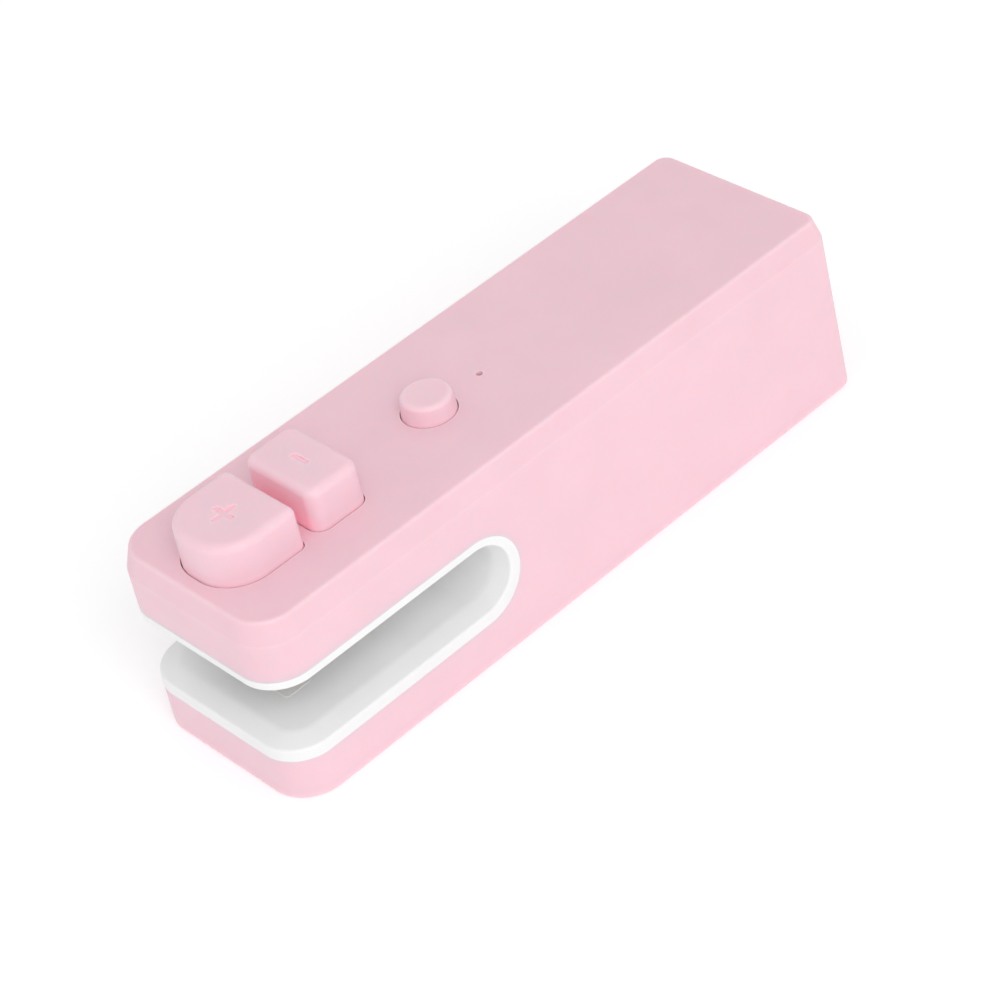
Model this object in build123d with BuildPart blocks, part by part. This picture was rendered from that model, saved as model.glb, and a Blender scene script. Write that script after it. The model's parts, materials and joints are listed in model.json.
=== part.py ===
"""Pocket bag sealer and cutter: a pink battery-powered box with a lined mouth and two spring-loaded keys.

Frame: millimetres, +Z up, origin at the middle of the underside. The mouth faces -Y, X is the width.
Places along the length are given as a depth, counted from the front face.
"""

import os

from build123d import *

os.makedirs("parts", exist_ok=True)

# --- body ---
LENGTH = 110.0
WIDTH = 32.0
HEIGHT = 30.5
FRONT_CORNER = 6.2
REAR_CORNER = 3.0
REAR_RAKE = 2.0
BEVEL_INSET = 1.0
BEVEL_HEIGHT = 3.4
EDGE_SOFTENING = 0.5
BEVEL_FOOT_SOFTENING = 0.3
WALL = 2.0
TOP_WALL = 1.8
CEILING = HEIGHT - TOP_WALL

# --- mouth ---
RIM_MIDDLE = 13.95
MOUTH_END_CENTRE = 35.5
RIM_RADIUS = 7.05
LINER_BACK_RADIUS = 6.4
TUNNEL_MIDDLE = 14.2
TUNNEL_RADIUS = 4.65
FLARE_DEPTH = 3.0
FLARE_RISE = 0.8
RIM_SOFTENING = 0.4
FLARE_BLEND = 3.0
MOUTH_FLOOR = TUNNEL_MIDDLE - TUNNEL_RADIUS
MOUTH_ROOF = TUNNEL_MIDDLE + TUNNEL_RADIUS
LINER_BOTTOM = RIM_MIDDLE - LINER_BACK_RADIUS
LINER_TOP = RIM_MIDDLE + LINER_BACK_RADIUS
SEAT_DEPTH = 1.2
WINDOW_CLEARANCE = 0.5
WINDOW_CORNER = 1.2
GUARD_DROP = 0.2
GUARD_WALL = 1.1
GUARD_CLEARANCE = 0.4

# --- pad and anvil in the mouth's floor ---
PAD_HALF = 6.5
PAD_WIDTH = 4.6
PAD_TOP_LEVEL = 9.65
ANVIL_HALF = 6.0
ANVIL_WIDTH = 3.4
ANVIL_TOP = 10.9
ANVIL_GROOVE_WIDTH = 1.4
ANVIL_GROOVE_DEPTH = 1.6
SEAT_CORNER = 0.6

# --- keys ---
KEY_HEIGHT = 6.5
KEY_TOP = HEIGHT + KEY_HEIGHT
KEY_SKIRT = 27.6
KEY_CLEARANCE = 0.15
KEY_WALL = 1.3
KEY_ROOF = 1.6
KEY_DRAFT = 1.0
KEY_ROUNDING = 1.2
SEAL_TRAVEL = 5.4
CUT_TRAVEL = 5.6

SEAL_KEY_HALF = 7.2
SEAL_KEY_FRONT = 3.15
SEAL_KEY_REAR = 16.2
SEAL_KEY_ROUND = 6.3
SEAL_KEY_BACK_ROUND = 1.3
SEAL_AXIS = 9.7

CUT_KEY_HALF = 7.1
CUT_KEY_FRONT = 18.4
CUT_KEY_REAR = 27.4
CUT_KEY_ROUND = 2.0
CUT_AXIS = 22.9

PLUS_SPAN = 4.0
MINUS_SPAN = 3.3
SYMBOL_STROKE = 0.9
SYMBOL_DEPTH = 0.3

# --- stems and springs inside the keys ---
STEM_RADIUS = 1.3
STEM_CLEARANCE = 0.05
STEM_SPACING = 6.2
STEM_TIP_RADIUS = 0.98
STEM_TIP_HEIGHT = 0.7
STEM_SOCKET_DEPTH = 0.8
SPRING_WIRE = 0.4
SPRING_RADIUS = 2.15
SPRING_TURNS = 9
SPRING_GAP = 0.05

# --- guide frame over the mouth ---
PLATE_BOTTOM = 20.4
PLATE_TOP = 21.4
PLATE_REAR = 29.0
COLLAR_RADIUS = 1.75
COLLAR_TOP = 22.4
PLATE_CLEARANCE = 0.4
GUIDE_INNER = 7.5
GUIDE_THICKNESS = 1.0
GUIDE_MIDDLE = 17.2
GUIDE_LENGTH = 15.4
GUIDE_TOP = CEILING - 0.5
DIVIDER_THICKNESS = 0.9
FRAME_SCREW_X = 10.8
FRAME_SCREW_DEPTHS = (6.8, 26.6)
FRAME_BOSS_RADIUS = 2.0

# --- heater and blade at rest ---
FOOT_TOP = 20.3
FOOT_BOTTOM = 18.2
HEATER_HALF = 7.0
HEATER_FRONT = 5.4
HEATER_REAR = 15.2
HEATER_CORNER = 1.0
PRESS_CLEARANCE = 0.15
STRIP_THICKNESS = 0.2
STRIP_HALF = 6.0
STRIP_WIDTH = 3.0
STRIP_TAIL = 0.8
FILM_THICKNESS = 0.15
FILM_SIDE_MARGIN = 0.8
FILM_FOLD = 2.2
FILM_BOTTOM = PAD_TOP_LEVEL + SEAL_TRAVEL + PRESS_CLEARANCE
HEATER_BOTTOM = FILM_BOTTOM + FILM_THICKNESS + STRIP_THICKNESS
HEATER_SCREW_DEPTHS = (7.1, 13.4)
BLADE_ENTRY = 0.9
BLADE_TIP = ANVIL_TOP + CUT_TRAVEL - BLADE_ENTRY
BLADE_HALF = 5.0
BLADE_THICKNESS = 0.4
BLADE_SHOULDER = 0.3
BLADE_GRIND = 0.17
BLADE_PIN_RADIUS = 0.4
BLADE_PIN_X = 4.3
BLADE_PIN_LEVEL = 19.1
CARRIER_HALF = 6.2
CARRIER_BOTTOM = 17.9
CARRIER_SLOT = 1.9

# --- round power button, its switch and the light ---
BUTTON_DEPTH = 44.8
BUTTON_RADIUS = 3.9
BUTTON_TOP_RADIUS = 3.6
BUTTON_HEIGHT = 3.0
BUTTON_FLANGE_RADIUS = 5.0
BUTTON_FLANGE_BOTTOM = 27.5
BUTTON_PIN_RADIUS = 1.4
BUTTON_PIN_BOTTOM = 27.0
BUTTON_DISH = 0.25
BUTTON_ROUNDING = 0.7
LIGHT_DEPTH = 54.3
LIGHT_BOSS_RADIUS = 2.2
LIGHT_BOSS_BOTTOM = 25.6
LIGHT_BORE_RADIUS = 1.25
LIGHT_BORE_TOP = CEILING + 0.4
PINHOLE_RADIUS = 0.5
PINHOLE_SINK = 1.2

# --- electronics ---
BOARD_BOTTOM = 21.3
BOARD_TOP = 22.5
BOARD_HALF = 8.4
BOARD_FRONT = 40.5
BOARD_REAR = 105.6
BOARD_SCREW_X = 6.2
BOARD_SCREW_DEPTHS = (62.0, 94.0)
BOARD_BOSS_RADIUS = 1.8
CHIP_DEPTH = 84.0
SWITCH_SIZE = 6.0
SWITCH_TOP = 26.0
STEM_WELL_RADIUS = 1.8
STEM_WELL_DEPTH = 1.7
PRESS_SWITCH_DEPTH = SEAL_KEY_REAR - KEY_WALL / 2
PRESS_SWITCH_HEIGHT = 0.45
SOCKET_WIDTH = 8.94
SOCKET_HEIGHT = 3.26
SOCKET_FRONT = 100.2
SOCKET_REAR = 107.6
SOCKET_MIDDLE = BOARD_TOP + SOCKET_HEIGHT / 2
SOCKET_SHEET = 0.3
SOCKET_END = 0.6
SOCKET_CLEARANCE = 0.25
TONGUE_WIDTH = 6.7
TONGUE_HEIGHT = 0.7
TONGUE_SINK = 1.2
CELL_RADIUS = 7.0
CELL_LENGTH = 50.0
CELL_FRONT = 52.0
CELL_MIDDLE = 10.2
CELL_FIT = 0.02
CLAMP_HALF = 5.0
CLAMP_SPAN = (66.0, 90.0)
CLAMP_RAIL = 3.0
CLAMP_WEB = 1.2
TAB_THICKNESS = 0.2
TAB_WIDTH = 5.0
TAB_HEIGHT = 9.0
LEAD_RADIUS = 0.6
LEAD_BEND = 1.6
LEAD_LEVEL = CELL_MIDDLE + 1
LEAD_DEPTHS = (48.6, 104.2)

# --- bottom cover and its screws ---
COVER_INSET = 1.1
COVER_GAP = 0.1
COVER_THICKNESS = 1.6
PAD_TOP = 3.6
BOSS_BOTTOM = 3.65
COVER_SCREW_HEAD_RADIUS = 2.0
COVER_SCREW_RADIUS = 1.1
COUNTERBORE_DEPTH = 2.0
JAW_SCREW_X = 10.6
JAW_SCREW_DEPTH = 8.0
SHELL_SCREW_X = 11.4
SHELL_SCREW_DEPTHS = (48.8, 103.4)
SHELL_BOSS_RADIUS = 2.7
JAW_BOSS_RADIUS = 2.4
SCREW_PAD_RADIUS = 2.5
COVER_SCREW_HOLE_DEPTH = 5.0
COVER_SCREW_SHANK = 5.4
RIB_THICKNESS = 1.2
RIB_X = 5.0
RIB_MIDDLE = 20.0
RIB_LENGTH = 30.0
CROSS_RIB_LENGTH = 14.0
CROSS_RIB_DEPTHS = (SEAL_AXIS, CUT_AXIS, 34.0)
CRADLE_DEPTHS = (58.0, 77.0, 96.0)
CRADLE_WIDTH = 18.0
CRADLE_THICKNESS = 1.4
CRADLE_HEIGHT = 5.4

# --- small screws inside ---
SMALL_SCREW_RADIUS = 0.8
HEATER_SCREW_RADIUS = 0.7
PILOT_RADIUS = 0.85
PILOT_DEPTH = 5.0
SMALL_SCREW_SHANK = 5.0


FROM_BELOW = (Align.CENTER, Align.CENTER, Align.MIN)
FROM_ABOVE = (Align.CENTER, Align.CENTER, Align.MAX)


def y_at(depth):
    """Y of a place at this depth behind the front face."""
    return depth - LENGTH / 2


def save(builder, name):
    """Label a finished piece and write it as its own file."""
    builder.part.label = name
    export_step(builder.part, f"parts/{name}.step")


def span_rectangle(half_width, front, rear):
    """Rectangle centred across the width between two depths."""
    with Locations((0, (y_at(front) + y_at(rear)) / 2)):
        Rectangle(2 * half_width, rear - front)


def body_outline(inset, shortened=0):
    """Plan outline of the body's foot, drawn in by inset and, if wanted, shortened further at the rear."""
    span_rectangle(WIDTH / 2 - inset, inset, LENGTH - inset - shortened)
    fillet(vertices().group_by(Axis.Y)[0], max(FRONT_CORNER - inset, 0.6))
    fillet(vertices().group_by(Axis.Y)[-1], max(REAR_CORNER - inset, 0.6))


def mouth_profile(radius, middle):
    """Side view of the mouth: open at the front, with a half-round end. Drawn on the YZ plane."""
    with Locations((y_at(MOUTH_END_CENTRE), middle)):
        Circle(radius)
        Rectangle(MOUTH_END_CENTRE + 10, 2 * radius, align=(Align.MAX, Align.CENTER))


def seal_key_outline(grow):
    """D shape of the seal key: nearly half-round towards the mouth, straight at the rear."""
    span_rectangle(SEAL_KEY_HALF + grow, SEAL_KEY_FRONT - grow, SEAL_KEY_REAR + grow)
    fillet(vertices().group_by(Axis.Y)[0], SEAL_KEY_ROUND + grow)
    fillet(vertices().group_by(Axis.Y)[-1], max(SEAL_KEY_BACK_ROUND + grow, 0.3))


def cut_key_outline(grow):
    """Rounded rectangle of the cut key."""
    span_rectangle(CUT_KEY_HALF + grow, CUT_KEY_FRONT - grow, CUT_KEY_REAR + grow)
    fillet(vertices(), CUT_KEY_ROUND + grow)


def cross_recess(span, width):
    """Cross-shaped driver recess."""
    Rectangle(span, width)
    Rectangle(width, span)


def pair_places(half_spacing, depths):
    """Points on both sides of the middle at each depth."""
    return [(side * half_spacing, y_at(depth)) for side in (-1, 1) for depth in depths]


frame_screw_places = pair_places(FRAME_SCREW_X, FRAME_SCREW_DEPTHS)
board_screw_places = pair_places(BOARD_SCREW_X, BOARD_SCREW_DEPTHS)
jaw_screw_places = pair_places(JAW_SCREW_X, (JAW_SCREW_DEPTH,))
shell_screw_places = pair_places(SHELL_SCREW_X, SHELL_SCREW_DEPTHS)
cover_screw_places = jaw_screw_places + shell_screw_places
seal_stem_places = pair_places(STEM_SPACING / 2, (SEAL_AXIS,))
cut_stem_places = pair_places(STEM_SPACING / 2, (CUT_AXIS,))
strip_slot_places = pair_places(STRIP_HALF + STRIP_THICKNESS / 2, (SEAL_AXIS,))
heater_screw_places = [(0, y_at(depth)) for depth in HEATER_SCREW_DEPTHS]
blade_pin_places = [(-BLADE_PIN_X, BLADE_PIN_LEVEL), (BLADE_PIN_X, BLADE_PIN_LEVEL)]


# ---------------------------------------------------------------- housing
# body_shell: one-piece sleeve with a raked rear, open below, the mouth cut through its front and both sides
with BuildPart() as body_shell:
    with BuildSketch(Plane.YZ):
        with BuildLine():
            Polyline(
                (y_at(0), 0),
                (y_at(LENGTH), 0),
                (y_at(LENGTH - REAR_RAKE), HEIGHT),
                (y_at(0), HEIGHT),
                close=True,
            )
        make_face()
    extrude(amount=WIDTH / 2, both=True)
    upright_edges = edges().filter_by(lambda e: abs(e.tangent_at(0.5).Z) > 0.9)
    fillet(upright_edges.group_by(Axis.Y)[0], FRONT_CORNER)
    rear_edges = edges().filter_by(lambda e: abs(e.tangent_at(0.5).Z) > 0.9).group_by(Axis.Y)[-1]
    fillet(rear_edges, REAR_CORNER)
    top_face = faces().sort_by(Axis.Z)[-1]
    chamfer(top_face.edges(), length=BEVEL_INSET, length2=BEVEL_HEIGHT, reference=top_face)
    fillet(faces().sort_by(Axis.Z)[-1].edges(), EDGE_SOFTENING)
    bevel_foot = edges().filter_by(lambda e: abs(e.center().Z - (HEIGHT - BEVEL_HEIGHT)) < 0.05)
    fillet(bevel_foot, BEVEL_FOOT_SOFTENING)
    fillet(faces().sort_by(Axis.Z)[0].edges(), EDGE_SOFTENING)
    with BuildSketch():
        body_outline(WALL, REAR_RAKE)
    extrude(amount=CEILING, mode=Mode.SUBTRACT)
    with BuildSketch():
        body_outline(COVER_INSET)
    extrude(amount=COVER_THICKNESS, mode=Mode.SUBTRACT)
    with BuildSketch(Plane.YZ):
        mouth_profile(RIM_RADIUS, RIM_MIDDLE)
    extrude(amount=WIDTH, both=True, mode=Mode.SUBTRACT)
    # openings in the top for both keys, the round button and the light
    with BuildSketch(Plane.XY.offset(CEILING)):
        seal_key_outline(KEY_CLEARANCE)
    extrude(amount=TOP_WALL, mode=Mode.SUBTRACT)
    with BuildSketch(Plane.XY.offset(CEILING)):
        cut_key_outline(KEY_CLEARANCE)
    extrude(amount=TOP_WALL, mode=Mode.SUBTRACT)
    with BuildSketch(Plane.XY.offset(CEILING)):
        with Locations((0, y_at(BUTTON_DEPTH))):
            Circle(BUTTON_RADIUS + KEY_CLEARANCE)
    extrude(amount=TOP_WALL, mode=Mode.SUBTRACT)
    # bosses that hang from the ceiling
    with BuildSketch(Plane.XY.offset(PLATE_TOP)):
        with Locations(*frame_screw_places):
            Circle(FRAME_BOSS_RADIUS)
    extrude(amount=CEILING - PLATE_TOP)
    with BuildSketch(Plane.XY.offset(BOSS_BOTTOM)):
        with Locations(*shell_screw_places):
            Circle(SHELL_BOSS_RADIUS)
    extrude(amount=CEILING - BOSS_BOTTOM)
    with BuildSketch(Plane.XY.offset(BOARD_TOP)):
        with Locations(*board_screw_places):
            Circle(BOARD_BOSS_RADIUS)
    extrude(amount=CEILING - BOARD_TOP)
    with BuildSketch(Plane.XY.offset(LIGHT_BOSS_BOTTOM)):
        with Locations((0, y_at(LIGHT_DEPTH))):
            Circle(LIGHT_BOSS_RADIUS)
    extrude(amount=CEILING - LIGHT_BOSS_BOTTOM)
    # screw holes in the bosses
    with BuildSketch(Plane.XY.offset(PLATE_TOP)):
        with Locations(*frame_screw_places):
            Circle(PILOT_RADIUS)
    extrude(amount=PILOT_DEPTH, mode=Mode.SUBTRACT)
    with BuildSketch(Plane.XY.offset(BOSS_BOTTOM)):
        with Locations(*shell_screw_places):
            Circle(COVER_SCREW_RADIUS + 0.05)
    extrude(amount=COVER_SCREW_HOLE_DEPTH, mode=Mode.SUBTRACT)
    with BuildSketch(Plane.XY.offset(BOARD_TOP)):
        with Locations(*board_screw_places):
            Circle(PILOT_RADIUS)
    extrude(amount=PILOT_DEPTH, mode=Mode.SUBTRACT)
    # light passage: a wide bore for the light pipe below a pinhole
    with BuildSketch(Plane.XY.offset(LIGHT_BOSS_BOTTOM)):
        with Locations((0, y_at(LIGHT_DEPTH))):
            Circle(LIGHT_BORE_RADIUS)
    extrude(amount=LIGHT_BORE_TOP - LIGHT_BOSS_BOTTOM, mode=Mode.SUBTRACT)
    with BuildSketch(Plane.XY.offset(CEILING)):
        with Locations((0, y_at(LIGHT_DEPTH))):
            Circle(PINHOLE_RADIUS)
    extrude(amount=TOP_WALL, mode=Mode.SUBTRACT)
    # charging opening in the rear wall
    with BuildSketch(Plane.XZ.offset(-LENGTH / 2 - 1)):
        with Locations((0, SOCKET_MIDDLE)):
            inlet_width = SOCKET_WIDTH + 2 * SOCKET_CLEARANCE
            inlet_height = SOCKET_HEIGHT + 2 * SOCKET_CLEARANCE
            RectangleRounded(inlet_width, inlet_height, SOCKET_HEIGHT / 2)
    extrude(amount=WALL + REAR_RAKE + 2, mode=Mode.SUBTRACT)
save(body_shell, "body_shell")

# jaw_liner: lining of the mouth, flush at the faces, flared inwards, with the blade guard under its roof
with BuildPart() as jaw_liner:
    with BuildSketch(Plane.YZ):
        mouth_profile(RIM_RADIUS, RIM_MIDDLE)
    extrude(amount=WIDTH / 2, both=True)
    with BuildSketch():
        body_outline(WALL)
    extrude(amount=HEIGHT, mode=Mode.SUBTRACT)
    with BuildSketch(Plane.YZ):
        mouth_profile(LINER_BACK_RADIUS, RIM_MIDDLE)
    extrude(amount=WIDTH / 2, both=True)
    with BuildSketch():
        body_outline(0)
    extrude(amount=HEIGHT, mode=Mode.INTERSECT)
    with BuildSketch(Plane.YZ):
        mouth_profile(TUNNEL_RADIUS, TUNNEL_MIDDLE)
    extrude(amount=WIDTH, both=True, mode=Mode.SUBTRACT)
    # flare: one continuous asymmetric chamfer round the edge of the mouth
    side_face = faces().filter_by(Axis.X).sort_by(Axis.X)[-1]
    rim_edge = side_face.edges().filter_by(Axis.Y).sort_by(lambda e: abs(e.center().Z - MOUTH_FLOOR))[0]
    chamfer(rim_edge, length=FLARE_RISE, length2=FLARE_DEPTH, reference=side_face)
    floor_edges = edges().filter_by(Axis.Y).filter_by(lambda e: abs(e.center().Z - MOUTH_FLOOR) < 0.01)
    fillet(floor_edges.sort_by(Axis.X)[-1], FLARE_BLEND)
    rim_face = faces().filter_by(Axis.X).sort_by(Axis.X)[-1]
    rim_edges = rim_face.edges().filter_by(Axis.Y)
    fillet(rim_edges.sort_by(lambda e: abs(e.center().Z - MOUTH_FLOOR + FLARE_RISE))[0], RIM_SOFTENING)
    # window in the roof for the heater
    with BuildSketch(Plane.XY.offset(MOUTH_ROOF - 1)):
        window_front = HEATER_FRONT - WINDOW_CLEARANCE
        window_rear = HEATER_REAR + WINDOW_CLEARANCE
        span_rectangle(HEATER_HALF + WINDOW_CLEARANCE, window_front, window_rear)
        fillet(vertices(), WINDOW_CORNER)
    extrude(amount=RIM_RADIUS, mode=Mode.SUBTRACT)
    # blade guard: an open collar round the blade
    slot_half = CARRIER_HALF + GUARD_CLEARANCE
    slot_reach = STEM_RADIUS + GUARD_CLEARANCE
    guard_reach = slot_reach + GUARD_WALL
    with BuildSketch(Plane.XY.offset(BLADE_TIP - GUARD_DROP)):
        span_rectangle(slot_half + GUARD_WALL, CUT_AXIS - guard_reach, CUT_AXIS + guard_reach)
        fillet(vertices(), WINDOW_CORNER)
    extrude(amount=LINER_TOP - BLADE_TIP + GUARD_DROP)
    with BuildSketch(Plane.XY.offset(BLADE_TIP - 1)):
        span_rectangle(slot_half, CUT_AXIS - slot_reach, CUT_AXIS + slot_reach)
        fillet(vertices(), GUARD_CLEARANCE)
    extrude(amount=RIM_RADIUS, mode=Mode.SUBTRACT)
    # seats in the floor for the pad and the anvil
    with BuildSketch(Plane.XY.offset(MOUTH_FLOOR - SEAT_DEPTH)):
        span_rectangle(PAD_HALF, SEAL_AXIS - PAD_WIDTH / 2, SEAL_AXIS + PAD_WIDTH / 2)
        fillet(vertices(), SEAT_CORNER)
    extrude(amount=2 * SEAT_DEPTH, mode=Mode.SUBTRACT)
    with BuildSketch(Plane.XY.offset(MOUTH_FLOOR - SEAT_DEPTH)):
        span_rectangle(ANVIL_HALF, CUT_AXIS - ANVIL_WIDTH / 2, CUT_AXIS + ANVIL_WIDTH / 2)
        fillet(vertices(), SEAT_CORNER)
    extrude(amount=2 * SEAT_DEPTH, mode=Mode.SUBTRACT)
    # screw bosses under the floor
    with BuildSketch(Plane.XY.offset(BOSS_BOTTOM)):
        with Locations(*jaw_screw_places):
            Circle(JAW_BOSS_RADIUS)
    extrude(amount=LINER_BOTTOM + 0.5 - BOSS_BOTTOM)
    with BuildSketch(Plane.XY.offset(BOSS_BOTTOM)):
        with Locations(*jaw_screw_places):
            Circle(COVER_SCREW_RADIUS + 0.05)
    extrude(amount=COVER_SCREW_HOLE_DEPTH, mode=Mode.SUBTRACT)
save(jaw_liner, "jaw_liner")

# bottom_cover: flush plate with screw pads, ribs under the lower jaw and a cradle for the cell
with BuildPart() as bottom_cover:
    with BuildSketch():
        body_outline(COVER_INSET + COVER_GAP)
    extrude(amount=COVER_THICKNESS)
    chamfer(faces().sort_by(Axis.Z)[0].edges(), 0.3)
    with BuildSketch(Plane.XY.offset(COVER_THICKNESS)):
        with Locations(*cover_screw_places):
            Circle(SCREW_PAD_RADIUS)
    extrude(amount=PAD_TOP - COVER_THICKNESS)
    with BuildSketch(Plane.XY.offset(COVER_THICKNESS)):
        with Locations(*pair_places(RIB_X, (RIB_MIDDLE,))):
            Rectangle(RIB_THICKNESS, RIB_LENGTH)
        with Locations(*[(0, y_at(depth)) for depth in CROSS_RIB_DEPTHS]):
            Rectangle(CROSS_RIB_LENGTH, RIB_THICKNESS)
    extrude(amount=LINER_BOTTOM - COVER_THICKNESS)
    with BuildSketch(Plane.XY.offset(COVER_THICKNESS)):
        with Locations(*[(0, y_at(depth)) for depth in CRADLE_DEPTHS]):
            Rectangle(CRADLE_WIDTH, CRADLE_THICKNESS)
    extrude(amount=CRADLE_HEIGHT)
    with BuildSketch(Plane.XZ.offset(-y_at(CELL_FRONT + CELL_LENGTH + 1))):
        with Locations((0, CELL_MIDDLE)):
            Circle(CELL_RADIUS + CELL_FIT)
    extrude(amount=CELL_LENGTH + 2, mode=Mode.SUBTRACT)
    with BuildSketch():
        with Locations(*cover_screw_places):
            Circle(COVER_SCREW_HEAD_RADIUS + 0.25)
    extrude(amount=COUNTERBORE_DEPTH, mode=Mode.SUBTRACT)
    with BuildSketch():
        with Locations(*cover_screw_places):
            Circle(COVER_SCREW_RADIUS + 0.15)
    extrude(amount=PAD_TOP, mode=Mode.SUBTRACT)
save(bottom_cover, "bottom_cover")

# cover_screws: six pan-head screws driven from below
with BuildPart() as cover_screws:
    with BuildSketch(Plane.XY.offset(0.4)):
        with Locations(*cover_screw_places):
            Circle(COVER_SCREW_HEAD_RADIUS)
    extrude(amount=COUNTERBORE_DEPTH - 0.4)
    fillet(edges().filter_by(GeomType.CIRCLE).group_by(Axis.Z)[0], 0.5)
    with BuildSketch(Plane.XY.offset(COUNTERBORE_DEPTH)):
        with Locations(*cover_screw_places):
            Circle(COVER_SCREW_RADIUS)
    extrude(amount=COVER_SCREW_SHANK)
    with BuildSketch():
        with Locations(*cover_screw_places):
            cross_recess(2.2, 0.5)
    extrude(amount=1.2, mode=Mode.SUBTRACT)
save(cover_screws, "cover_screws")

# silicone_pad: heat-proof strip that the heater presses the bag against
with BuildPart() as silicone_pad:
    with BuildSketch(Plane.XY.offset(MOUTH_FLOOR - SEAT_DEPTH)):
        span_rectangle(PAD_HALF, SEAL_AXIS - PAD_WIDTH / 2, SEAL_AXIS + PAD_WIDTH / 2)
        fillet(vertices(), SEAT_CORNER)
    extrude(amount=PAD_TOP_LEVEL - (MOUTH_FLOOR - SEAT_DEPTH))
    fillet(faces().sort_by(Axis.Z)[-1].edges(), 0.08)
save(silicone_pad, "silicone_pad")

# cutting_anvil: raised bar with a groove that takes the blade
with BuildPart() as cutting_anvil:
    with BuildSketch(Plane.XY.offset(MOUTH_FLOOR - SEAT_DEPTH)):
        span_rectangle(ANVIL_HALF, CUT_AXIS - ANVIL_WIDTH / 2, CUT_AXIS + ANVIL_WIDTH / 2)
        fillet(vertices(), SEAT_CORNER)
    extrude(amount=ANVIL_TOP - (MOUTH_FLOOR - SEAT_DEPTH))
    fillet(faces().sort_by(Axis.Z)[-1].edges(), 0.4)
    with BuildSketch(Plane.XY.offset(ANVIL_TOP)):
        with Locations((0, y_at(CUT_AXIS))):
            Rectangle(2 * ANVIL_HALF, ANVIL_GROOVE_WIDTH)
    extrude(amount=-ANVIL_GROOVE_DEPTH, mode=Mode.SUBTRACT)
save(cutting_anvil, "cutting_anvil")

# guide_frame: plate over the mouth with stem collars and side guides for both keys
with BuildPart() as guide_frame:
    with BuildSketch(Plane.XY.offset(PLATE_BOTTOM)):
        body_outline(WALL + PLATE_CLEARANCE)
        with Locations((0, y_at(PLATE_REAR))):
            Rectangle(WIDTH, LENGTH, align=(Align.CENTER, Align.MAX), mode=Mode.INTERSECT)
    extrude(amount=PLATE_TOP - PLATE_BOTTOM)
    with BuildSketch(Plane.XY.offset(PLATE_TOP)):
        with Locations(*seal_stem_places, *cut_stem_places):
            Circle(COLLAR_RADIUS)
    extrude(amount=COLLAR_TOP - PLATE_TOP)
    with BuildSketch(Plane.XY.offset(PLATE_TOP)):
        with Locations(*pair_places(GUIDE_INNER + GUIDE_THICKNESS / 2, (GUIDE_MIDDLE,))):
            Rectangle(GUIDE_THICKNESS, GUIDE_LENGTH)
        with Locations((0, y_at((SEAL_KEY_REAR + CUT_KEY_FRONT) / 2))):
            Rectangle(2 * GUIDE_INNER, DIVIDER_THICKNESS)
    extrude(amount=GUIDE_TOP - PLATE_TOP)
    with BuildSketch(Plane.XY.offset(PLATE_BOTTOM)):
        with Locations(*seal_stem_places, *cut_stem_places):
            Circle(STEM_RADIUS + STEM_CLEARANCE)
    extrude(amount=COLLAR_TOP - PLATE_BOTTOM, mode=Mode.SUBTRACT)
    with Locations(Plane.XY.offset(PLATE_BOTTOM)):
        with Locations(*[(x, y, 0) for x, y in frame_screw_places]):
            Cone(1.55, PILOT_RADIUS, 0.7, align=FROM_BELOW, mode=Mode.SUBTRACT)
            Cylinder(PILOT_RADIUS + 0.05, 3, mode=Mode.SUBTRACT)
save(guide_frame, "guide_frame")

# frame_screws: four countersunk screws up into the ceiling bosses
with BuildPart() as frame_screws:
    with Locations(Plane.XY.offset(PLATE_BOTTOM + 0.05)):
        with Locations(*[(x, y, 0) for x, y in frame_screw_places]):
            Cone(1.45, SMALL_SCREW_RADIUS, 0.65, align=FROM_BELOW)
            Cylinder(SMALL_SCREW_RADIUS, SMALL_SCREW_SHANK, align=FROM_BELOW)
save(frame_screws, "frame_screws")

# ---------------------------------------------------------------- seal key
# seal_keycap: hollow D-shaped key with a sunk plus sign
with BuildPart() as seal_keycap:
    with BuildSketch(Plane.XY.offset(KEY_SKIRT)):
        seal_key_outline(0)
    extrude(amount=HEIGHT - KEY_SKIRT)
    with BuildSketch(Plane.XY.offset(HEIGHT)):
        seal_key_outline(0)
    extrude(amount=KEY_HEIGHT, taper=KEY_DRAFT)
    fillet(faces().sort_by(Axis.Z)[-1].edges(), KEY_ROUNDING)
    with BuildSketch(Plane.XY.offset(KEY_SKIRT)):
        seal_key_outline(-KEY_WALL)
    extrude(amount=KEY_TOP - KEY_ROOF - KEY_SKIRT, mode=Mode.SUBTRACT)
    with BuildSketch(Plane.XY.offset(KEY_TOP - KEY_ROOF)):
        with Locations(*seal_stem_places):
            Circle(STEM_TIP_RADIUS + 0.02)
    extrude(amount=STEM_SOCKET_DEPTH, mode=Mode.SUBTRACT)
    with BuildSketch(Plane.XY.offset(KEY_TOP)):
        with Locations((0, y_at(SEAL_AXIS))):
            SlotOverall(PLUS_SPAN, SYMBOL_STROKE)
            SlotOverall(PLUS_SPAN, SYMBOL_STROKE, rotation=90)
    extrude(amount=-SYMBOL_DEPTH, mode=Mode.SUBTRACT)
save(seal_keycap, "seal_keycap")

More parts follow.
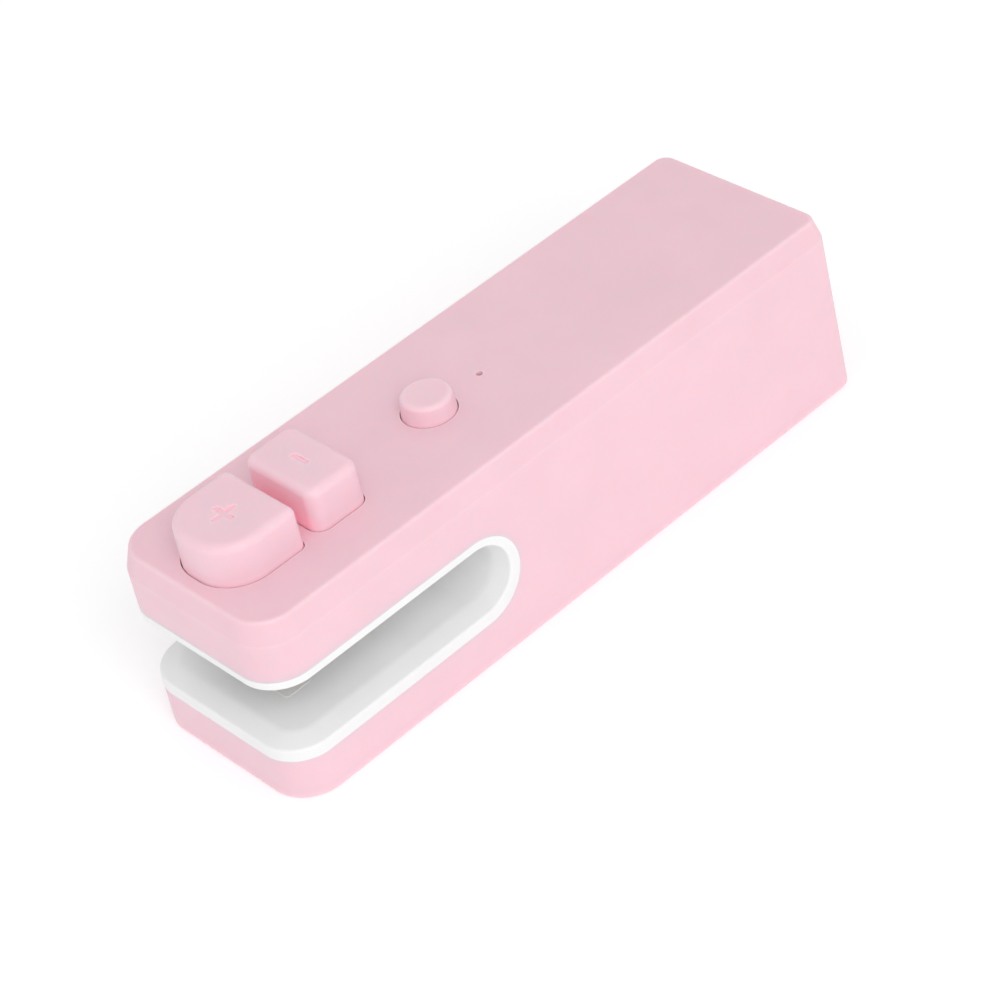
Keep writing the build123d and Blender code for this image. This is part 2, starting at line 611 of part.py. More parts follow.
# seal_plunger: foot that carries the heater, on two stems pressed into the key
with BuildPart() as seal_plunger:
    with BuildSketch(Plane.XY.offset(FOOT_BOTTOM)):
        span_rectangle(HEATER_HALF, HEATER_FRONT, HEATER_REAR)
        fillet(vertices(), HEATER_CORNER)
    extrude(amount=FOOT_TOP - FOOT_BOTTOM)
    with BuildSketch(Plane.XY.offset(FOOT_TOP)):
        with Locations(*seal_stem_places):
            Circle(STEM_RADIUS)
    extrude(amount=KEY_TOP - KEY_ROOF - FOOT_TOP)
    with BuildSketch(Plane.XY.offset(KEY_TOP - KEY_ROOF)):
        with Locations(*seal_stem_places):
            Circle(STEM_TIP_RADIUS)
    extrude(amount=STEM_TIP_HEIGHT)
    with Locations(Plane.XY.offset(FOOT_TOP)):
        with Locations(*[(x, y, 0) for x, y in heater_screw_places]):
            Cone(0.85, 1.35, 0.8, align=FROM_ABOVE, mode=Mode.SUBTRACT)
            Cylinder(HEATER_SCREW_RADIUS + 0.05, 6, mode=Mode.SUBTRACT)
    with BuildSketch(Plane.XY.offset(FOOT_BOTTOM)):
        with Locations(*strip_slot_places):
            Rectangle(STRIP_THICKNESS + 0.5, STRIP_WIDTH + 0.4)
    extrude(amount=STRIP_TAIL + 0.4, mode=Mode.SUBTRACT)
save(seal_plunger, "seal_plunger")

# heater_block: heat-proof block under the foot, with slots for the strip's ends
with BuildPart() as heater_block:
    with BuildSketch(Plane.XY.offset(HEATER_BOTTOM)):
        span_rectangle(HEATER_HALF, HEATER_FRONT, HEATER_REAR)
        fillet(vertices(), HEATER_CORNER)
    extrude(amount=FOOT_BOTTOM - HEATER_BOTTOM)
    with BuildSketch(Plane.XY.offset(HEATER_BOTTOM)):
        with Locations(*strip_slot_places):
            Rectangle(STRIP_THICKNESS + 0.1, STRIP_WIDTH + 0.1)
    extrude(amount=FOOT_BOTTOM - HEATER_BOTTOM, mode=Mode.SUBTRACT)
    with BuildSketch(Plane.XY.offset(FOOT_BOTTOM)):
        with Locations(*heater_screw_places):
            Circle(HEATER_SCREW_RADIUS + 0.02)
    extrude(amount=-2.0, mode=Mode.SUBTRACT)
save(heater_block, "heater_block")

# heating_strip: flat resistance ribbon, its ends turned up through the block
with BuildPart() as heating_strip:
    with BuildSketch(Plane.XY.offset(HEATER_BOTTOM - STRIP_THICKNESS)):
        span_rectangle(STRIP_HALF + STRIP_THICKNESS, SEAL_AXIS - STRIP_WIDTH / 2, SEAL_AXIS + STRIP_WIDTH / 2)
    extrude(amount=STRIP_THICKNESS)
    with BuildSketch(Plane.XY.offset(HEATER_BOTTOM)):
        with Locations(*strip_slot_places):
            Rectangle(STRIP_THICKNESS, STRIP_WIDTH)
    extrude(amount=FOOT_BOTTOM + STRIP_TAIL - HEATER_BOTTOM)
save(heating_strip, "heating_strip")

# heater_film: non-stick film folded round the block from front to rear
with BuildPart() as heater_film:
    with BuildSketch(Plane.XY.offset(FILM_BOTTOM)):
        film_front = HEATER_FRONT - FILM_THICKNESS
        film_rear = HEATER_REAR + FILM_THICKNESS
        span_rectangle(HEATER_HALF - FILM_SIDE_MARGIN, film_front, film_rear)
    extrude(amount=FILM_FOLD)
    with BuildSketch(Plane.XY.offset(FILM_BOTTOM + FILM_THICKNESS)):
        span_rectangle(HEATER_HALF, HEATER_FRONT, HEATER_REAR)
    extrude(amount=FILM_FOLD, mode=Mode.SUBTRACT)
save(heater_film, "heater_film")

# heater_screws: two countersunk screws through the foot into the block
with BuildPart() as heater_screws:
    with Locations(Plane.XY.offset(FOOT_TOP - 0.05)):
        with Locations(*[(x, y, 0) for x, y in heater_screw_places]):
            Cone(HEATER_SCREW_RADIUS, 1.25, 0.75, align=FROM_ABOVE)
            Cylinder(HEATER_SCREW_RADIUS, 3.7, align=FROM_ABOVE)
save(heater_screws, "heater_screws")

# ---------------------------------------------------------------- cut key
# cut_keycap: hollow rounded rectangular key with a sunk minus sign
with BuildPart() as cut_keycap:
    with BuildSketch(Plane.XY.offset(KEY_SKIRT)):
        cut_key_outline(0)
    extrude(amount=HEIGHT - KEY_SKIRT)
    with BuildSketch(Plane.XY.offset(HEIGHT)):
        cut_key_outline(0)
    extrude(amount=KEY_HEIGHT, taper=KEY_DRAFT)
    fillet(faces().sort_by(Axis.Z)[-1].edges(), KEY_ROUNDING)
    with BuildSketch(Plane.XY.offset(KEY_SKIRT)):
        cut_key_outline(-KEY_WALL)
    extrude(amount=KEY_TOP - KEY_ROOF - KEY_SKIRT, mode=Mode.SUBTRACT)
    with BuildSketch(Plane.XY.offset(KEY_TOP - KEY_ROOF)):
        with Locations(*cut_stem_places):
            Circle(STEM_TIP_RADIUS + 0.02)
    extrude(amount=STEM_SOCKET_DEPTH, mode=Mode.SUBTRACT)
    with BuildSketch(Plane.XY.offset(KEY_TOP)):
        with Locations((0, y_at(CUT_AXIS))):
            SlotOverall(MINUS_SPAN, SYMBOL_STROKE)
    extrude(amount=-SYMBOL_DEPTH, mode=Mode.SUBTRACT)
save(cut_keycap, "cut_keycap")

# blade_carrier: foot that clamps the blade, on two stems pressed into the key
with BuildPart() as blade_carrier:
    with BuildSketch(Plane.XY.offset(CARRIER_BOTTOM)):
        span_rectangle(CARRIER_HALF, CUT_AXIS - STEM_RADIUS, CUT_AXIS + STEM_RADIUS)
        fillet(vertices(), 0.4)
    extrude(amount=FOOT_TOP - CARRIER_BOTTOM)
    with BuildSketch(Plane.XY.offset(FOOT_TOP)):
        with Locations(*cut_stem_places):
            Circle(STEM_RADIUS)
    extrude(amount=KEY_TOP - KEY_ROOF - FOOT_TOP)
    with BuildSketch(Plane.XY.offset(KEY_TOP - KEY_ROOF)):
        with Locations(*cut_stem_places):
            Circle(STEM_TIP_RADIUS)
    extrude(amount=STEM_TIP_HEIGHT)
    with BuildSketch(Plane.XY.offset(CARRIER_BOTTOM)):
        span_rectangle(BLADE_HALF + 0.05, CUT_AXIS - BLADE_THICKNESS / 2, CUT_AXIS + BLADE_THICKNESS / 2)
    extrude(amount=CARRIER_SLOT, mode=Mode.SUBTRACT)
    with BuildSketch(Plane.XZ.offset(-y_at(CUT_AXIS + 2))):
        with Locations(*blade_pin_places):
            Circle(BLADE_PIN_RADIUS)
    extrude(amount=4, mode=Mode.SUBTRACT)
save(blade_carrier, "blade_carrier")

# cutter_blade: thin steel insert ground to a shallow point
with BuildPart() as cutter_blade:
    with BuildSketch(Plane.XZ.offset(-y_at(CUT_AXIS + BLADE_THICKNESS / 2))):
        with BuildLine():
            Polyline(
                (-BLADE_HALF, CARRIER_BOTTOM + CARRIER_SLOT - 0.05),
                (BLADE_HALF, CARRIER_BOTTOM + CARRIER_SLOT - 0.05),
                (BLADE_HALF, CARRIER_BOTTOM - BLADE_SHOULDER),
                (0, BLADE_TIP),
                (-BLADE_HALF, CARRIER_BOTTOM - BLADE_SHOULDER),
                close=True,
            )
        make_face()
        with Locations(*blade_pin_places):
            Circle(BLADE_PIN_RADIUS, mode=Mode.SUBTRACT)
    extrude(amount=BLADE_THICKNESS)
    tip_edges = edges().filter_by(lambda e: e.center().Z < CARRIER_BOTTOM - BLADE_SHOULDER - 0.1)
    chamfer(tip_edges.filter_by(lambda e: e.length > 1), length=BLADE_GRIND)
save(cutter_blade, "cutter_blade")

# blade_pins: two cross pins through the carrier and the blade
with BuildPart() as blade_pins:
    with BuildSketch(Plane.XZ.offset(-y_at(CUT_AXIS + STEM_RADIUS))):
        with Locations(*blade_pin_places):
            Circle(BLADE_PIN_RADIUS - 0.01)
    extrude(amount=2 * STEM_RADIUS)
save(blade_pins, "blade_pins")


def coil_springs(depth):
    """Two compression springs round the stems of one key, from the plate to the inside of the key's roof."""
    bottom = PLATE_TOP + SPRING_WIRE / 2 + SPRING_GAP
    top = KEY_TOP - KEY_ROOF - SPRING_WIRE / 2 - SPRING_GAP
    pitch = (top - bottom) / SPRING_TURNS
    with BuildPart() as springs:
        for x, y in pair_places(STEM_SPACING / 2, (depth,)):
            coil = Pos(x, y, bottom) * Helix(pitch, top - bottom, SPRING_RADIUS)
            with BuildSketch(Plane(origin=coil @ 0, z_dir=coil % 0)):
                Circle(SPRING_WIRE / 2)
            sweep(path=coil, is_frenet=True)
    return springs


save(coil_springs(SEAL_AXIS), "seal_springs")
save(coil_springs(CUT_AXIS), "cut_springs")

# ---------------------------------------------------------------- power button and switches
# power_button: round button with a retaining flange and a pin that works the switch
with BuildPart() as power_button:
    button_top = HEIGHT + BUTTON_HEIGHT
    with BuildSketch(Plane.XZ.offset(-y_at(BUTTON_DEPTH))):
        with BuildLine():
            Polyline(
                (0, BUTTON_PIN_BOTTOM),
                (BUTTON_PIN_RADIUS, BUTTON_PIN_BOTTOM),
                (BUTTON_PIN_RADIUS, BUTTON_FLANGE_BOTTOM),
                (BUTTON_FLANGE_RADIUS, BUTTON_FLANGE_BOTTOM),
                (BUTTON_FLANGE_RADIUS, CEILING - 0.1),
                (BUTTON_RADIUS, CEILING - 0.1),
                (BUTTON_RADIUS, HEIGHT),
                (BUTTON_TOP_RADIUS, button_top),
            )
            ThreePointArc(
                (BUTTON_TOP_RADIUS, button_top),
                (BUTTON_TOP_RADIUS / 2, button_top - 0.75 * BUTTON_DISH),
                (0, button_top - BUTTON_DISH),
            )
            Line((0, button_top - BUTTON_DISH), (0, BUTTON_PIN_BOTTOM))
        make_face()
    revolve(axis=Axis((0, y_at(BUTTON_DEPTH), 0), (0, 0, 1)))
    fillet(edges().filter_by(GeomType.CIRCLE).sort_by(Axis.Z)[-1], BUTTON_ROUNDING)
save(power_button, "power_button")

# tact_switch: square switch body on the board, with a well for its stem
with BuildPart() as tact_switch:
    with BuildSketch(Plane.XY.offset(BOARD_TOP)):
        with Locations((0, y_at(BUTTON_DEPTH))):
            Rectangle(SWITCH_SIZE, SWITCH_SIZE)
    extrude(amount=SWITCH_TOP - BOARD_TOP)
    chamfer(edges().filter_by(Axis.Z), 0.5)
    with BuildSketch(Plane.XY.offset(SWITCH_TOP)):
        with Locations((0, y_at(BUTTON_DEPTH))):
            Circle(STEM_WELL_RADIUS)
    extrude(amount=-STEM_WELL_DEPTH, mode=Mode.SUBTRACT)
save(tact_switch, "tact_switch")

# switch_stem: the switch's own plunger, just under the button's pin
with BuildPart() as switch_stem:
    with BuildSketch(Plane.XY.offset(SWITCH_TOP - 1.0)):
        with Locations((0, y_at(BUTTON_DEPTH))):
            Circle(STEM_WELL_RADIUS - 0.08)
    extrude(amount=BUTTON_PIN_BOTTOM - (SWITCH_TOP - 1.0))
    fillet(faces().sort_by(Axis.Z)[-1].edges(), 0.2)
save(switch_stem, "switch_stem")

# press_switch: flat switch on the plate, closed by the seal key's rear skirt at the end of its stroke
with BuildPart() as press_switch:
    with BuildSketch(Plane.XY.offset(PLATE_TOP)):
        with Locations((0, y_at(PRESS_SWITCH_DEPTH))):
            Rectangle(3.2, 1.9)
    extrude(amount=PRESS_SWITCH_HEIGHT)
    with BuildSketch(Plane.XY.offset(PLATE_TOP + PRESS_SWITCH_HEIGHT)):
        with Locations((0, y_at(PRESS_SWITCH_DEPTH))):
            Circle(0.7)
    extrude(amount=0.2)
save(press_switch, "press_switch")

# ---------------------------------------------------------------- electronics
# main_board: long circuit board above the cell
with BuildPart() as main_board:
    with BuildSketch(Plane.XY.offset(BOARD_BOTTOM)):
        span_rectangle(BOARD_HALF, BOARD_FRONT, BOARD_REAR)
        fillet(vertices(), 1.0)
        with Locations(*board_screw_places):
            Circle(0.95, mode=Mode.SUBTRACT)
        for lead_depth in LEAD_DEPTHS:
            with Locations((0, y_at(lead_depth))):
                Circle(LEAD_RADIUS, mode=Mode.SUBTRACT)
    extrude(amount=BOARD_TOP - BOARD_BOTTOM)
save(main_board, "main_board")

# board_screws: four pan-head screws from below the board into the ceiling posts
with BuildPart() as board_screws:
    with BuildSketch(Plane.XY.offset(BOARD_BOTTOM)):
        with Locations(*board_screw_places):
            Circle(1.6)
    extrude(amount=-1.0)
    with BuildSketch(Plane.XY.offset(BOARD_BOTTOM)):
        with Locations(*board_screw_places):
            Circle(SMALL_SCREW_RADIUS)
    extrude(amount=SMALL_SCREW_SHANK)
    with BuildSketch(Plane.XY.offset(BOARD_BOTTOM - 1.0)):
        with Locations(*board_screw_places):
            cross_recess(1.8, 0.4)
    extrude(amount=0.6, mode=Mode.SUBTRACT)
save(board_screws, "board_screws")

# charge_chip: charging controller on the board
with BuildPart() as charge_chip:
    with BuildSketch(Plane.XY.offset(BOARD_TOP)):
        with Locations((0, y_at(CHIP_DEPTH))):
            Rectangle(3.9, 4.9)
    extrude(amount=1.5)
    chamfer(faces().sort_by(Axis.Z)[-1].edges(), 0.25)
save(charge_chip, "charge_chip")

# status_led: small lamp on the board under the light pipe
with BuildPart() as status_led:
    with BuildSketch(Plane.XY.offset(BOARD_TOP)):
        with Locations((0, y_at(LIGHT_DEPTH))):
            Rectangle(2.0, 1.25)
    extrude(amount=0.8)
save(status_led, "status_led")

# light_pipe: clear rod from the lamp to the pinhole in the top
with BuildPart() as light_pipe:
    with BuildSketch(Plane.XY.offset(BOARD_TOP + 1.0)):
        with Locations((0, y_at(LIGHT_DEPTH))):
            Circle(LIGHT_BORE_RADIUS - 0.01)
    extrude(amount=LIGHT_BORE_TOP - BOARD_TOP - 1.0)
    with BuildSketch(Plane.XY.offset(CEILING)):
        with Locations((0, y_at(LIGHT_DEPTH))):
            Circle(PINHOLE_RADIUS - 0.01)
    extrude(amount=TOP_WALL - PINHOLE_SINK)
save(light_pipe, "light_pipe")

# charging_socket: metal shell of the charging inlet, open to the rear
socket_corner = SOCKET_HEIGHT / 2 - 0.02
with BuildPart() as charging_socket:
    with BuildSketch(Plane.XZ.offset(-y_at(SOCKET_REAR))):
        with Locations((0, SOCKET_MIDDLE)):
            RectangleRounded(SOCKET_WIDTH, SOCKET_HEIGHT, socket_corner)
    extrude(amount=SOCKET_REAR - SOCKET_FRONT)
    with BuildSketch(Plane.XZ.offset(-y_at(SOCKET_REAR))):
        with Locations((0, SOCKET_MIDDLE)):
            inner_width = SOCKET_WIDTH - 2 * SOCKET_SHEET
            inner_height = SOCKET_HEIGHT - 2 * SOCKET_SHEET
            RectangleRounded(inner_width, inner_height, socket_corner - SOCKET_SHEET)
    extrude(amount=SOCKET_REAR - SOCKET_FRONT - SOCKET_END, mode=Mode.SUBTRACT)
save(charging_socket, "charging_socket")

# socket_tongue: plastic tongue inside the charging inlet
with BuildPart() as socket_tongue:
    with BuildSketch(Plane.XZ.offset(-y_at(SOCKET_REAR - TONGUE_SINK))):
        with Locations((0, SOCKET_MIDDLE)):
            RectangleRounded(TONGUE_WIDTH, TONGUE_HEIGHT, 0.2)
    extrude(amount=SOCKET_REAR - TONGUE_SINK - SOCKET_FRONT - SOCKET_END)
save(socket_tongue, "socket_tongue")

# battery_cell: round lithium cell, 14 mm across and 50 mm long
with BuildPart() as battery_cell:
    with BuildSketch(Plane.XZ.offset(-y_at(CELL_FRONT + CELL_LENGTH))):
        with Locations((0, CELL_MIDDLE)):
            Circle(CELL_RADIUS)
    extrude(amount=CELL_LENGTH)
    fillet(edges().filter_by(GeomType.CIRCLE), 0.6)
save(battery_cell, "battery_cell")

# battery_tabs: nickel strips welded to both ends of the cell
with BuildPart() as battery_tabs:
    for tab_start in (CELL_FRONT, CELL_FRONT + CELL_LENGTH + TAB_THICKNESS):
        with BuildSketch(Plane.XZ.offset(-y_at(tab_start))):
            with Locations((0, CELL_MIDDLE)):
                RectangleRounded(TAB_WIDTH, TAB_HEIGHT, 0.8)
        extrude(amount=TAB_THICKNESS)
save(battery_tabs, "battery_tabs")


def battery_lead(tab_depth, board_depth):
    """Wire from one tab straight out, then up into its hole in the board."""
    with BuildPart() as lead:
        with BuildLine():
            FilletPolyline(
                (0, y_at(tab_depth), LEAD_LEVEL),
                (0, y_at(board_depth), LEAD_LEVEL),
                (0, y_at(board_depth), BOARD_TOP),
                radius=LEAD_BEND,
            )
        with BuildSketch(Plane.XZ.offset(-y_at(tab_depth))):
            with Locations((0, LEAD_LEVEL)):
                Circle(LEAD_RADIUS - 0.02)
        sweep()
    return lead


save(battery_lead(CELL_FRONT - TAB_THICKNESS, LEAD_DEPTHS[0]), "negative_lead")
save(battery_lead(CELL_FRONT + CELL_LENGTH + TAB_THICKNESS, LEAD_DEPTHS[1]), "positive_lead")

# cell_clamp: plastic saddle that holds the cell down from the board
with BuildPart() as cell_clamp:
    with BuildSketch(Plane.XY.offset(CELL_MIDDLE + CELL_RADIUS / 2)):
        span_rectangle(CLAMP_HALF, *CLAMP_SPAN)
    extrude(amount=BOARD_BOTTOM - CELL_MIDDLE - CELL_RADIUS / 2)
    with BuildSketch(Plane.XY.offset(CELL_MIDDLE + CELL_RADIUS / 2)):
        span_rectangle(CLAMP_HALF, CLAMP_SPAN[0] + CLAMP_RAIL, CLAMP_SPAN[1] - CLAMP_RAIL)
    extrude(amount=CELL_RADIUS / 2 + CLAMP_WEB, mode=Mode.SUBTRACT)
    with BuildSketch(Plane.XZ.offset(-y_at(CLAMP_SPAN[1] + 1))):
        with Locations((0, CELL_MIDDLE)):
            Circle(CELL_RADIUS + CELL_FIT)
    extrude(amount=CELL_LENGTH, mode=Mode.SUBTRACT)
    fillet(edges().filter_by(Axis.Z).group_by(Axis.Y)[0], 0.5)
    fillet(edges().filter_by(Axis.Z).group_by(Axis.Y)[-1], 0.5)
save(cell_clamp, "cell_clamp")
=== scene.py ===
"""Looks of the pocket bag sealer: finishes, finer springs and contacts, floor, light and camera.

Metres, in the CAD frame: +Z up, the mouth faces -Y, the origin is at the middle of the underside.
"""

import json
import math

import bmesh
import bpy
from mathutils import Matrix, Vector


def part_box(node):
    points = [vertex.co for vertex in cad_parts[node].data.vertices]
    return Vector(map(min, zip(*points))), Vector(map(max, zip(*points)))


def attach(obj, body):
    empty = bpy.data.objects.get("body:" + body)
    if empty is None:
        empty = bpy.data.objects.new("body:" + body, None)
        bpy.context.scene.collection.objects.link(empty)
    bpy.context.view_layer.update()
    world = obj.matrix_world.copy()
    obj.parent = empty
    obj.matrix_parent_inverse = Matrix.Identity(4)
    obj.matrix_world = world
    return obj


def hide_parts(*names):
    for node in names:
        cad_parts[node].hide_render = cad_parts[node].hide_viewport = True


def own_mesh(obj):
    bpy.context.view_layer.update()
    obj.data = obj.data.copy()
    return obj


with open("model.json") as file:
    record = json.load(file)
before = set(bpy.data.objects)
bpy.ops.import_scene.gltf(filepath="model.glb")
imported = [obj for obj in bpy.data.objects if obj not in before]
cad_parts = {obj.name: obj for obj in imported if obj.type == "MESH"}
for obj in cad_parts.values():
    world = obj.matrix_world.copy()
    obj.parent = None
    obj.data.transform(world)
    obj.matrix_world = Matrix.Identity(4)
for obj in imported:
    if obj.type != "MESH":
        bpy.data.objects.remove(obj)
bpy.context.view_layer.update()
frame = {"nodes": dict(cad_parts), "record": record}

MM = 0.001

# --- camera, as angles and distances from the object ---
CAMERA_AIM = Vector((2.46, -3.52, 10.95)) * MM
CAMERA_AZIMUTH = math.radians(53.38)
CAMERA_ELEVATION = math.radians(38.9)
CAMERA_ROLL = math.radians(-12.13)
CAMERA_DISTANCE = 426.65 * MM
CAMERA_LENS = 110.30

# --- light ---
SKY_STRENGTH = 0.775
KEY_LIGHT_WATTS = 4.6
KEY_LIGHT_DISTANCE = 1.2
KEY_LIGHT_SIZE = 0.7
KEY_LIGHT_AZIMUTH = math.radians(66)
KEY_LIGHT_ELEVATION = math.radians(41)
FLOOR_SIZE = 6.0

# --- finishes, as linear colours ---
PINK = (0.845, 0.575, 0.645)
# paler edge colours, this one and the three like it below: partly scuffing, partly a painted highlight along
# edges and creases
PINK_WEAR_AND_HIGHLIGHT = (0.92, 0.74, 0.78)
# the shell's pink made a little lighter for the keys: painted light, making up for the light their sides get
# less of
PINK_KEYS_PAINTED_LIGHTER = (0.865, 0.60, 0.67)
# painted red light: emission colour put on faces inside narrow gaps, standing in for light in their shade
PAINTED_GLOW = (1.0, 0.12, 0.2, 1.0)
WHITE = (0.845, 0.845, 0.845)
NYLON = (0.66, 0.64, 0.58)
# paler edge colour: partly scuffing, partly a painted highlight
NYLON_WEAR_AND_HIGHLIGHT = (0.7, 0.69, 0.64)
BLACK = (0.02, 0.02, 0.022)
# this line and the next: paler edge colours, partly scuffing, partly a painted highlight
BLACK_WEAR_AND_HIGHLIGHT = (0.06, 0.06, 0.062)
WHITE_WEAR_AND_HIGHLIGHT = (0.9, 0.9, 0.895)
GROUND_OFF = 0.12  # share of the wire's thickness ground away at each end of a spring
ONE_BAND = 0.31  # scale at which the wave texture makes one band per unit of its coordinates


def direction(azimuth, elevation):
    """Unit vector from the object towards a place round it; azimuth 0 is in front of the mouth."""
    level = math.cos(elevation)
    return Vector((math.sin(azimuth) * level, -math.cos(azimuth) * level, math.sin(elevation)))


# ---------------------------------------------------------------- camera, floor and light
def make_camera():
    """Camera on the object's front right, tipped a little about its own axis."""
    back = direction(CAMERA_AZIMUTH, CAMERA_ELEVATION)
    level = Vector((0, 0, 1)).cross(back).normalized()
    upright = back.cross(level)
    side = level * math.cos(CAMERA_ROLL) + upright * math.sin(CAMERA_ROLL)
    up = upright * math.cos(CAMERA_ROLL) - level * math.sin(CAMERA_ROLL)
    data = bpy.data.cameras.new("camera")
    data.sensor_width = 36.0
    data.lens = CAMERA_LENS
    data.clip_start = 0.01
    data.clip_end = 20.0
    camera = bpy.data.objects.new("camera", data)
    turn = Matrix((side, up, back)).transposed().to_4x4()
    camera.matrix_world = Matrix.Translation(CAMERA_AIM + back * CAMERA_DISTANCE) @ turn
    bpy.context.scene.collection.objects.link(camera)
    bpy.context.scene.camera = camera


def make_light():
    """Even white surroundings and one large soft light near the camera's side."""
    world = bpy.data.worlds.new("studio")
    world.use_nodes = True
    sky = world.node_tree.nodes["Background"]
    sky.inputs["Color"].default_value = (1, 1, 1, 1)
    sky.inputs["Strength"].default_value = SKY_STRENGTH
    bpy.context.scene.world = world
    data = bpy.data.lights.new("softbox", "AREA")
    data.shape = "SQUARE"
    data.size = KEY_LIGHT_SIZE
    data.energy = KEY_LIGHT_WATTS
    light = bpy.data.objects.new("softbox", data)
    back = direction(KEY_LIGHT_AZIMUTH, KEY_LIGHT_ELEVATION)
    light.location = back * KEY_LIGHT_DISTANCE
    light.rotation_euler = back.to_track_quat("Z", "Y").to_euler()
    bpy.context.scene.collection.objects.link(light)


def make_floor():
    """Plain pale floor, well past the edges of any view."""
    half = FLOOR_SIZE / 2
    mesh = bpy.data.meshes.new("floor")
    corners = [(-half, -half, 0), (half, -half, 0), (half, half, 0), (-half, half, 0)]
    mesh.from_pydata(corners, [], [(0, 1, 2, 3)])
    floor = bpy.data.objects.new("floor", mesh)
    bpy.context.scene.collection.objects.link(floor)
    finish = Finish("floor_paper")
    grain = finish.noise(0.4 * MM, seed=3)
    finish.colour(grain, (0.93, 0.93, 0.93), (0.95, 0.95, 0.95))
    finish.set(Roughness=0.8, Emission_Color=(1, 1, 1, 1), Emission_Strength=0.15)
    floor.data.materials.append(finish.material)


# ---------------------------------------------------------------- finishes
def opaque(colour):
    """A colour with its alpha, or the output of a node as it is."""
    return colour if isinstance(colour, bpy.types.NodeSocket) else (*colour, 1)


class Finish:
    """A Principled material, with short names for the chains of nodes that the finishes share."""

    def __init__(self, name):
        self.material = bpy.data.materials.new(name)
        self.material.use_nodes = True
        self.tree = self.material.node_tree
        self.shader = self.tree.nodes["Principled BSDF"]
        self.place = self.node("ShaderNodeTexCoord").outputs["Object"]
        self.normal = None

    def node(self, kind, inputs=(), **settings):
        """New node with these settings; an input is a number, a colour or another node's output."""
        made = self.tree.nodes.new(kind)
        for key, value in settings.items():
            setattr(made, key, value)
        for key, value in dict(inputs).items():
            if isinstance(value, bpy.types.NodeSocket):
                self.tree.links.new(value, made.inputs[key])
            else:
                made.inputs[key].default_value = value
        return made

    def set(self, **values):
        """Numbers on the shader's own sockets; an underscore stands for a space."""
        for key, value in values.items():
            self.shader.inputs[key.replace("_", " ")].default_value = value

    def drive(self, socket, output):
        self.tree.links.new(output, self.shader.inputs[socket])

    def stretched(self, along):
        """The object's coordinates, divided along each axis by these lengths in metres."""
        scale = [1 / length for length in along]
        return self.node("ShaderNodeMapping", {"Vector": self.place, "Scale": scale}).outputs["Vector"]

    def noise(self, size, detail=3.0, seed=0.0, along=(1, 1, 1)):
        """Noise from 0 to 1 with grains of about this size, in metres."""
        where = self.stretched([size * share for share in along])
        inputs = {"Vector": where, "W": seed, "Scale": 1.0, "Detail": detail}
        return self.node("ShaderNodeTexNoise", inputs, noise_dimensions="4D").outputs["Fac"]

    def cells(self, size, seed=0.0, feature="F1"):
        """Distance to the nearest of scattered points about this far apart."""
        inputs = {"Vector": self.stretched([size] * 3), "W": seed, "Scale": 1.0}
        made = self.node("ShaderNodeTexVoronoi", inputs, voronoi_dimensions="4D", feature=feature)
        return made.outputs["Distance"]

    def fitted(self, value, low, high, to_low, to_high):
        """Value between low and high, brought to another range and held inside it."""
        inputs = {"Value": value, "From Min": low, "From Max": high, "To Min": to_low, "To Max": to_high}
        return self.node("ShaderNodeMapRange", inputs).outputs["Result"]

    def sum(self, first, second, share=1.0):
        """First plus share times second."""
        made = self.node("ShaderNodeMath", {0: second, 1: share, 2: first}, operation="MULTIPLY_ADD")
        return made.outputs["Value"]

    def product(self, first, second):
        return self.node("ShaderNodeMath", {0: first, 1: second}, operation="MULTIPLY").outputs["Value"]

    def mixed(self, share, first, second):
        """Colour between first and second."""
        inputs = {0: share, 6: opaque(first), 7: opaque(second)}
        return self.node("ShaderNodeMix", inputs, data_type="RGBA").outputs[2]

    def colour(self, share, first, second):
        self.drive("Base Color", self.mixed(share, first, second))

    def edges(self, radius, softness=0.03):
        """1 along edges and tight fillets, 0 on flat faces."""
        rounded = self.node("ShaderNodeBevel", {"Radius": radius}, samples=3).outputs["Normal"]
        true = self.node("ShaderNodeNewGeometry").outputs["Normal"]
        match = self.node("ShaderNodeVectorMath", {0: rounded, 1: true}, operation="DOT_PRODUCT")
        return self.fitted(match.outputs["Value"], 1.0 - softness, 1.0, 1.0, 0.0)

    def painted_glow_mask(self, reach):
        """Mask for the painted red light: 1 on faces that look into a narrow gap, 0 on open faces and at the
        dark bottom of the gap.
        """
        open_share = self.node("ShaderNodeAmbientOcclusion", {"Distance": reach}, samples=4).outputs["AO"]
        near_wall = self.fitted(open_share, 0.4, 0.74, 1.0, 0.0)
        lit = self.fitted(open_share, 0.1, 0.3, 0.0, 1.0)
        return self.product(near_wall, lit)

    def bump(self, height, distance):
        """Relief of this height in metres, on top of any relief made before."""
        inputs = {"Height": height, "Distance": distance, "Strength": 1.0}
        if self.normal:
            inputs["Normal"] = self.normal
        self.normal = self.node("ShaderNodeBump", inputs).outputs["Normal"]
        self.drive("Normal", self.normal)


